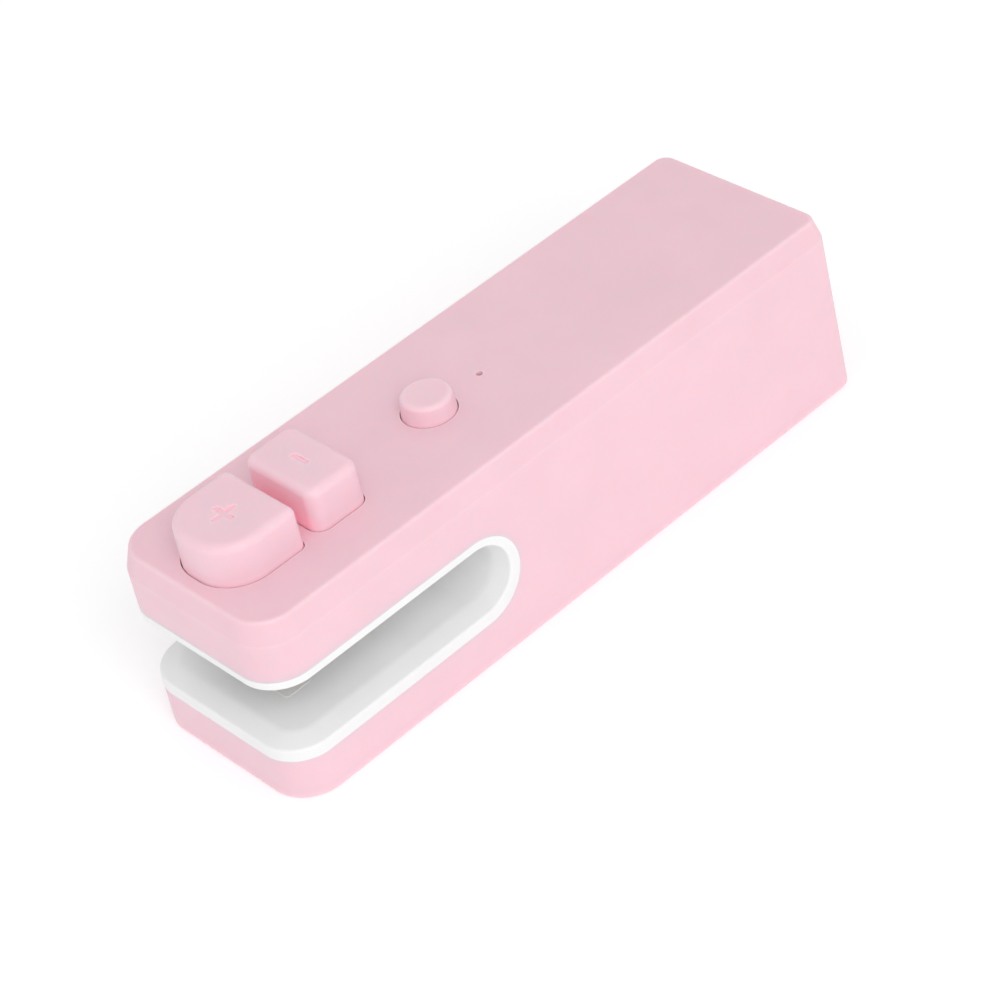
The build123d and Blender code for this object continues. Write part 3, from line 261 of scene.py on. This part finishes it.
def moulded_plastic(name, colour, wear_and_highlight_colour, roughness, seed, painted_glow=0.0):
    """Satin moulded plastic: fine grain, faint flow clouds, paler edges that are partly scuffing and partly a
    painted highlight, and painted red light inside its gaps.
    """
    finish = Finish(name)
    clouds = finish.noise(9 * MM, seed=seed)
    specks = finish.noise(0.35 * MM, detail=2, seed=seed + 1)
    grain = finish.cells(0.22 * MM, seed=seed + 2, feature="F1")
    scuffs = finish.fitted(finish.noise(2.2 * MM, seed=seed + 3), 0.4, 0.7, 0.7, 1.0)
    # paler edges from a bevel mask: partly scuffing, partly a painted highlight along edges and creases; also
    # a little glossier
    wear_and_highlight = finish.product(finish.edges(0.5 * MM), scuffs)
    darker = [channel * 0.975 for channel in colour]
    lighter = [channel * 1.02 for channel in colour]
    shade = finish.sum(finish.fitted(clouds, 0.3, 0.7, 0.0, 0.8), specks, 0.25)
    body = finish.mixed(shade, darker, lighter)
    finish.colour(finish.fitted(wear_and_highlight, 0.0, 1.0, 0.0, 0.7), body, wear_and_highlight_colour)
    satin = finish.fitted(finish.noise(5 * MM, seed=seed + 4), 0.3, 0.7, roughness - 0.04, roughness + 0.04)
    finish.drive("Roughness", finish.sum(satin, wear_and_highlight, -0.1))
    finish.bump(grain, 0.006 * MM)
    finish.bump(specks, 0.004 * MM)
    finish.set(IOR=1.47)
    # painted red light: emission on faces that look into narrow gaps, standing in for light in their shade;
    # the subsurface scattering is real
    if painted_glow:
        finish.set(Subsurface_Weight=0.5, Subsurface_Radius=(1.0, 0.3, 0.36), Subsurface_Scale=1.5 * MM)
        finish.set(Emission_Color=PAINTED_GLOW)
        finish.drive("Emission Strength", finish.product(finish.painted_glow_mask(3 * MM), painted_glow))
    return finish.material


def metal(name, light, dark, roughness, brush=(1, 1, 1), seed=0, grain=0.12 * MM):
    """Bare or plated metal with drawn or ground marks along the longest of brush, and a few darker stains."""
    finish = Finish(name)
    marks = finish.noise(grain, detail=4, seed=seed, along=brush)
    stains = finish.noise(1.8 * MM, seed=seed + 1)
    finish.colour(finish.sum(finish.fitted(stains, 0.35, 0.7, 0.0, 0.6), marks, 0.4), light, dark)
    finish.drive("Roughness", finish.fitted(marks, 0.3, 0.7, roughness - 0.08, roughness + 0.1))
    finish.bump(marks, 0.004 * MM)
    finish.set(Metallic=1.0)
    return finish.material


def silicone():
    """Heat-proof silicone: dull, dusty and a little uneven."""
    finish = Finish("pale_silicone")
    dust = finish.noise(0.5 * MM, detail=5, seed=21)
    clouds = finish.noise(3 * MM, seed=22)
    base = finish.mixed(clouds, (0.74, 0.74, 0.73), (0.80, 0.80, 0.79))
    finish.colour(finish.fitted(dust, 0.5, 0.75, 0.0, 0.35), base, (0.86, 0.86, 0.85))
    finish.drive("Roughness", finish.fitted(dust, 0.3, 0.7, 0.55, 0.75))
    finish.bump(dust, 0.01 * MM)
    return finish.material


def phenolic():
    """Dark heat-proof moulding with a mineral filler that shows as pale specks."""
    finish = Finish("black_phenolic")
    specks = finish.cells(0.3 * MM, seed=31)
    clouds = finish.noise(1.5 * MM, seed=32)
    base = finish.mixed(clouds, (0.018, 0.016, 0.015), (0.035, 0.031, 0.028))
    finish.colour(finish.fitted(specks, 0.08, 0.16, 0.6, 0.0), base, (0.10, 0.09, 0.08))
    finish.drive("Roughness", finish.fitted(clouds, 0.3, 0.7, 0.45, 0.62))
    finish.bump(specks, 0.008 * MM)
    return finish.material


def glass_cloth():
    """Brown non-stick film over a plain glass weave."""
    finish = Finish("brown_film")
    bands = {"Vector": finish.stretched([0.35 * MM] * 3), "Scale": ONE_BAND}
    warp = finish.node("ShaderNodeTexWave", bands, bands_direction="X").outputs["Fac"]
    weft = finish.node("ShaderNodeTexWave", bands, bands_direction="Y").outputs["Fac"]
    weave = finish.product(warp, weft)
    clouds = finish.noise(2 * MM, seed=41)
    base = finish.mixed(clouds, (0.05, 0.032, 0.02), (0.075, 0.05, 0.032))
    finish.colour(finish.fitted(weave, 0.1, 0.9, 0.0, 0.5), base, (0.13, 0.09, 0.06))
    finish.drive("Roughness", finish.fitted(weave, 0.0, 1.0, 0.3, 0.45))
    finish.bump(weave, 0.02 * MM)
    return finish.material


def circuit_board():
    """Green lacquer over copper tracks, which stand a little proud and look paler."""
    finish = Finish("green_board")
    cells = finish.node(
        "ShaderNodeTexVoronoi",
        {"Vector": finish.stretched([2.2 * MM, 3.4 * MM, 9 * MM]), "Scale": 1.0, "Randomness": 0.75},
        feature="DISTANCE_TO_EDGE",
        distance="EUCLIDEAN",
    ).outputs["Distance"]
    tracks = finish.fitted(cells, 0.05, 0.09, 1.0, 0.0)
    weave = finish.noise(0.4 * MM, seed=52)
    base = finish.mixed(weave, (0.012, 0.085, 0.035), (0.02, 0.11, 0.045))
    finish.colour(finish.fitted(tracks, 0.0, 1.0, 0.0, 0.8), base, (0.035, 0.20, 0.08))
    finish.drive("Roughness", finish.fitted(weave, 0.2, 0.8, 0.18, 0.3))
    finish.bump(tracks, 0.03 * MM)
    return finish.material


def shrink_sleeve():
    """Thin shrink film on the cell, drawn into fine creases round its ends."""
    finish = Finish("cell_sleeve")
    creases = finish.noise(1.2 * MM, detail=4, seed=61, along=(1, 6, 1))
    clouds = finish.noise(6 * MM, seed=62)
    finish.colour(clouds, (0.02, 0.10, 0.30), (0.03, 0.14, 0.38))
    finish.drive("Roughness", finish.fitted(creases, 0.3, 0.7, 0.16, 0.32))
    finish.bump(creases, 0.05 * MM)
    return finish.material


def insulation(name, colour, seed):
    """Soft wire insulation with faint lengthwise flow marks."""
    finish = Finish(name)
    marks = finish.noise(0.3 * MM, detail=3, seed=seed, along=(1, 1, 8))
    lighter = [channel * 1.25 + 0.01 for channel in colour]
    finish.colour(marks, colour, lighter)
    finish.drive("Roughness", finish.fitted(marks, 0.3, 0.7, 0.4, 0.55))
    finish.bump(marks, 0.008 * MM)
    return finish.material


def lamp_package():
    """Lamp body: pale potting with a warm centre."""
    finish = Finish("lamp")
    clouds = finish.noise(0.5 * MM, seed=71)
    finish.colour(clouds, (0.60, 0.20, 0.12), (0.75, 0.34, 0.18))
    finish.drive("Roughness", finish.fitted(clouds, 0.3, 0.7, 0.2, 0.35))
    finish.bump(clouds, 0.01 * MM)
    return finish.material


def light_rod():
    """Tinted clear plastic of the light pipe."""
    finish = Finish("clear_pipe")
    swirls = finish.noise(0.6 * MM, seed=81)
    finish.colour(swirls, (0.05, 0.018, 0.018), (0.08, 0.03, 0.03))
    finish.drive("Roughness", finish.fitted(swirls, 0.3, 0.7, 0.12, 0.25))
    finish.bump(swirls, 0.005 * MM)
    finish.set(Transmission_Weight=0.1, IOR=1.49)
    return finish.material


def make_finishes():
    """Every finish by the name of the record's material slot."""
    return {
        # the shell and the keys carry painted red light in their gaps
        "pink_shell": moulded_plastic("pink_shell", PINK, PINK_WEAR_AND_HIGHLIGHT, 0.44, seed=1, painted_glow=0.1),
        # the keys' pink is painted lighter than the shell's
        "pink_keys": moulded_plastic("pink_keys", PINK_KEYS_PAINTED_LIGHTER, PINK_WEAR_AND_HIGHLIGHT, 0.42, seed=6, painted_glow=0.2),
        "white_liner": moulded_plastic("white_liner", WHITE, WHITE_WEAR_AND_HIGHLIGHT, 0.36, seed=11),
        "white_nylon": moulded_plastic("white_nylon", NYLON, NYLON_WEAR_AND_HIGHLIGHT, 0.48, seed=16),
        "black_switch": moulded_plastic("black_switch", BLACK, BLACK_WEAR_AND_HIGHLIGHT, 0.4, seed=26),
        "steel_screws": metal("steel_screws", (0.62, 0.62, 0.64), (0.42, 0.41, 0.41), 0.32, seed=101),
        "heater_ribbon": metal("heater_ribbon", (0.5, 0.47, 0.42), (0.3, 0.24, 0.2), 0.3, (12, 1, 1), 103),
        "spring_steel": metal("spring_steel", (0.66, 0.66, 0.68), (0.45, 0.45, 0.46), 0.24, seed=105),
        "blade_steel": metal("blade_steel", (0.72, 0.73, 0.75), (0.5, 0.5, 0.52), 0.2, (1, 1, 14), seed=107),
        "socket_steel": metal("socket_steel", (0.7, 0.7, 0.71), (0.5, 0.5, 0.5), 0.28, (1, 10, 1), seed=109),
        "nickel": metal("nickel", (0.64, 0.61, 0.55), (0.45, 0.42, 0.37), 0.3, (1, 1, 10), seed=111),
        "gold": metal("gold_plate", (0.95, 0.66, 0.26), (0.75, 0.47, 0.16), 0.22, (1, 8, 1), seed=113),
        "pale_silicone": silicone(),
        "black_phenolic": phenolic(),
        "brown_film": glass_cloth(),
        "green_board": circuit_board(),
        "cell_sleeve": shrink_sleeve(),
        "black_wire": insulation("black_wire", (0.012, 0.012, 0.013), seed=65),
        "red_wire": insulation("red_wire", (0.36, 0.012, 0.012), seed=66),
        "lamp": lamp_package(),
        "clear_pipe": light_rod(),
    }


def dress_cad_nodes(finishes):
    """Gives every CAD node the finish of its own slot."""
    for part in frame["record"]["subparts"]:
        node = frame["nodes"][part["node"]]
        node.data.materials.clear()
        node.data.materials.append(finishes[part["material_slot"]])


# ---------------------------------------------------------------- finer pieces
def new_piece(name, build, material, body, replaced=()):
    """Mesh object from a builder of vertices and faces, riding on a body."""
    shape = bmesh.new()
    build(shape)
    bmesh.ops.recalc_face_normals(shape, faces=shape.faces)
    mesh = bpy.data.meshes.new(name)
    shape.to_mesh(mesh)
    shape.free()
    for face in mesh.polygons:
        face.use_smooth = True
    mesh.set_sharp_from_angle(angle=math.radians(35))
    mesh.materials.append(material)
    piece = bpy.data.objects.new(name, mesh)
    bpy.context.scene.collection.objects.link(piece)
    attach(piece, body)
    if replaced:
        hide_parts(*replaced)
    return piece


def coil(shape, centre, bottom, top, mean_radius, wire, turns, closed=1.0):
    """Compression spring with closed and ground ends, as a closed tube round a helix of uneven pitch."""
    steps, sides = 40, 14  # rings to a turn, and corners of the wire's section
    lowest, highest = bottom + wire * GROUND_OFF, top - wire * GROUND_OFF
    rise = (top - bottom) - wire * (2 * closed + 1)
    rings = []
    for step in range(int(turns * steps) + 1):
        turn = step / steps
        at_foot = min(turn, closed)
        at_head = max(turn - (turns - closed), 0.0)
        free = turn - at_foot - at_head
        height = bottom + wire / 2 + wire * (at_foot + at_head) + rise * free / (turns - 2 * closed)
        angle = 2 * math.pi * turn
        out = Vector((math.cos(angle), math.sin(angle), 0))
        ring = []
        for side in range(sides):
            around = 2 * math.pi * side / sides
            level = height + wire / 2 * math.sin(around)
            level = min(max(level, lowest), highest)
            spot = centre + out * (mean_radius + wire / 2 * math.cos(around))
            ring.append(shape.verts.new((spot.x, spot.y, level)))
        rings.append(ring)
    for lower, upper in zip(rings, rings[1:]):
        for side in range(sides):
            following = (side + 1) % sides
            shape.faces.new((lower[side], lower[following], upper[following], upper[side]))
    shape.faces.new(rings[0][::-1])
    shape.faces.new(rings[-1])


def make_springs(finishes, name, stem_spacing=6.2 * MM, wire=0.4 * MM, turns=9):
    """Both springs of one key, from the plate to the key's roof."""
    low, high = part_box(name)
    middle = (low.y + high.y) / 2
    mean_radius = (high.y - low.y - wire) / 2

    def build(shape):
        for side in (-1, 1):
            coil(shape, Vector((side * stem_spacing / 2, middle, 0)), low.z, high.z, mean_radius, wire, turns)

    piece = new_piece(f"{name}_wound", build, finishes["spring_steel"], "housing", [name])
    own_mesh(piece)


def make_contacts(finishes, count=12, pitch=0.5 * MM, width=0.26 * MM, proud=0.03 * MM):
    """Gold contacts along both faces of the charging inlet's tongue."""
    low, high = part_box("socket_tongue")

    def build(shape):
        for index in range(count):
            across = (index - (count - 1) / 2) * pitch
            for level in (low.z, high.z):
                centre = Vector((across, (low.y + high.y) / 2 - 0.2 * MM, level))
                size = (width, (high.y - low.y) * 0.86, 2 * proud)
                place = Matrix.Translation(centre) @ Matrix.Diagonal((*size, 1))
                bmesh.ops.create_cube(shape, size=1.0, matrix=place)
        bmesh.ops.bevel(shape, geom=shape.edges[:], offset=0.012 * MM, segments=2, affect="EDGES")

    new_piece("socket_contacts", build, finishes["gold"], "housing")


# ---------------------------------------------------------------- the scene
make_camera()
make_light()
make_floor()
finishes = make_finishes()
dress_cad_nodes(finishes)
make_springs(finishes, "seal_springs")
make_springs(finishes, "cut_springs")
make_contacts(finishes)

scene = bpy.context.scene
scene.view_settings.view_transform = "Standard"
scene.cycles.use_denoising = True
